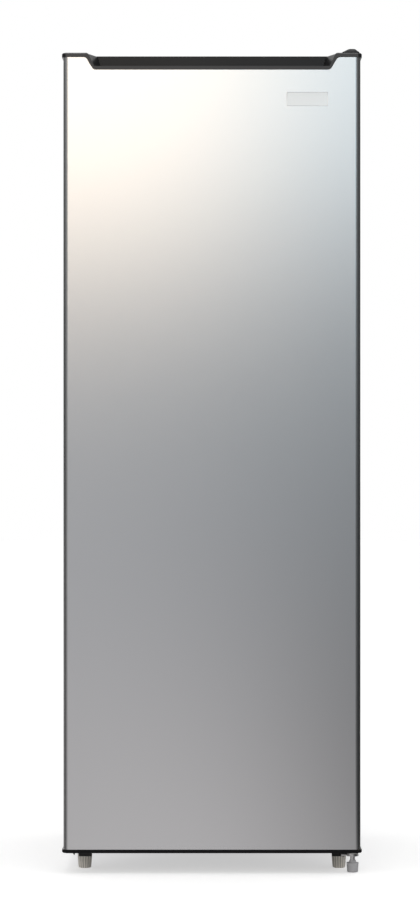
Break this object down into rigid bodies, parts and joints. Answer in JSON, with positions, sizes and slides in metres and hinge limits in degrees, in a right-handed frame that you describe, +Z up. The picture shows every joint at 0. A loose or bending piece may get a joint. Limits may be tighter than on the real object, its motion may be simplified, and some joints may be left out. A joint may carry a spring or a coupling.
{
  "type": "upright freezer",
  "caption": "Upright household freezer with one full-height hinged door, a handle scoop in its top edge, tube-and-wire shelves, levelling feet and a rear machine bay.",
  "frame": {"origin": "centre of the footprint on the floor, below the middle of the freezer's box", "axes": "+X to the hinge side (the viewer's right), +Y to the back, +Z up"},
  "size_m": [0.55, 0.575, 1.514],
  "materials": {
    "cabinet_enamel": "semi-gloss baked enamel, fine leather grain",
    "door_steel": "satin, clear-coated, faint vertical brushing",
    "dark_trim": "moulded, fine grain",
    "liner_white": "vacuum-formed",
    "insulation": "foamed in place",
    "galvanised": "galvanised sheet",
    "zinc_steel": "bright zinc",
    "bush_plastic": "moulded acetal",
    "gasket_rubber": "extruded magnetic seal",
    "rack_plastic": "moulded",
    "foot_ivory": "moulded, ribbed",
    "foot_grey": "moulded",
    "roller_black": "moulded",
    "compressor_black": "gloss black",
    "motor_iron": "as cast",
    "grommet_rubber": "moulded",
    "condenser_black": "black dip paint",
    "copper": "drawn copper",
    "shelf_white": "epoxy-coated steel tube and wire",
    "control_plastic": "moulded",
    "knob_plastic": "moulded"
  },
  "bodies": {
    "cabinet": {"cabinet_shell": "cabinet_enamel", "cabinet_back_panel": "galvanised", "base_pan": "galvanised", "cabinet_liner": "liner_white", "cabinet_foam": "insulation", "top_hinge_bracket": "zinc_steel", "top_hinge_pin": "zinc_steel", "top_hinge_screws": "zinc_steel", "hinge_hole_plugs": "bush_plastic", "top_hinge_cover": "dark_trim", "bottom_hinge_bracket": "zinc_steel", "bottom_hinge_pin": "zinc_steel", "bottom_hinge_screws": "zinc_steel", "foot_brackets": "galvanised", "rear_roller_brackets": "galvanised", "rear_roller_axles": "zinc_steel", "compressor_mount_plate": "galvanised", "compressor_grommets": "grommet_rubber", "compressor_feet_plate": "compressor_black", "compressor_lower_shell": "compressor_black", "compressor_upper_shell": "compressor_black", "compressor_motor": "motor_iron", "relay_cover": "roller_black", "condenser_tube": "condenser_black", "condenser_wires": "condenser_black", "condenser_spacers": "roller_black", "evaporator_tube_1": "shelf_white", "evaporator_tube_2": "shelf_white", "evaporator_tube_3": "shelf_white", "evaporator_tube_4": "shelf_white", "evaporator_wires": "shelf_white", "evaporator_risers": "shelf_white", "shelf_clips": "bush_plastic", "discharge_tube": "condenser_black", "filter_drier": "copper", "capillary_tube": "copper", "suction_tube": "copper", "thermostat_box": "control_plastic", "cord_gland": "grommet_rubber"},
    "door": {"door_panel": "door_steel", "door_top_cap": "dark_trim", "door_bottom_cap": "dark_trim", "door_liner": "liner_white", "door_foam": "insulation", "door_gasket": "gasket_rubber", "door_rack_1": "rack_plastic", "door_rack_2": "rack_plastic", "door_rack_3": "rack_plastic", "door_rack_4": "rack_plastic", "top_hinge_bush": "bush_plastic", "bottom_hinge_bush": "bush_plastic"},
    "left_foot_stud": {"left_foot_stud": "zinc_steel"},
    "left_foot_cup": {"left_foot_cup": "foot_ivory"},
    "right_foot_stud": {"right_foot_stud": "zinc_steel"},
    "right_foot_cup": {"right_foot_cup": "foot_ivory"},
    "hinge_foot_stud": {"hinge_foot_stud": "zinc_steel"},
    "hinge_foot_cup": {"hinge_foot_cup": "foot_grey"},
    "rear_left_roller": {"rear_left_roller": "roller_black"},
    "rear_right_roller": {"rear_right_roller": "roller_black"},
    "thermostat_knob": {"thermostat_knob": "knob_plastic"}
  },
  "joints": [
    {"name": "door_hinge", "type": "hinge", "parent": "cabinet", "child": "door", "pos_m": [0.259, -0.2625, 0.77], "axis": [0, 0, 1], "range_deg": [0, 120]},
    {"name": "left_foot_lift", "type": "slide", "parent": "cabinet", "child": "left_foot_stud", "axis": [0, 0, -1], "range_m": [0, 0.01]},
    {"name": "left_foot_turn", "type": "hinge", "parent": "left_foot_stud", "child": "left_foot_cup", "pos_m": [-0.2365, -0.2065, 0.012], "axis": [0, 0, -1], "range_deg": [0, 2880]},
    {"name": "right_foot_lift", "type": "slide", "parent": "cabinet", "child": "right_foot_stud", "axis": [0, 0, -1], "range_m": [0, 0.01]},
    {"name": "right_foot_turn", "type": "hinge", "parent": "right_foot_stud", "child": "right_foot_cup", "pos_m": [0.2365, -0.2065, 0.012], "axis": [0, 0, -1], "range_deg": [0, 2880]},
    {"name": "hinge_foot_lift", "type": "slide", "parent": "cabinet", "child": "hinge_foot_stud", "axis": [0, 0, -1], "range_m": [0, 0.01]},
    {"name": "hinge_foot_turn", "type": "hinge", "parent": "hinge_foot_stud", "child": "hinge_foot_cup", "pos_m": [0.259, -0.2625, 0.012], "axis": [0, 0, -1], "range_deg": [0, 2880]},
    {"name": "rear_left_roller_spin", "type": "hinge", "parent": "cabinet", "child": "rear_left_roller", "pos_m": [-0.236, 0.2135, 0.014], "axis": [1, 0, 0], "continuous": true},
    {"name": "rear_right_roller_spin", "type": "hinge", "parent": "cabinet", "child": "rear_right_roller", "pos_m": [0.236, 0.2135, 0.014], "axis": [1, 0, 0], "continuous": true},
    {"name": "thermostat_knob_turn", "type": "hinge", "parent": "cabinet", "child": "thermostat_knob", "pos_m": [-0.196, 0.238, 0.091], "axis": [0, -1, 0], "range_deg": [0, 270]}
  ],
  "couplings": [
    {"joint": "left_foot_lift", "follows": "left_foot_turn", "m_per_rad": 0.00019894},
    {"joint": "right_foot_lift", "follows": "right_foot_turn", "m_per_rad": 0.00019894},
    {"joint": "hinge_foot_lift", "follows": "hinge_foot_turn", "m_per_rad": 0.00019894}
  ]
}
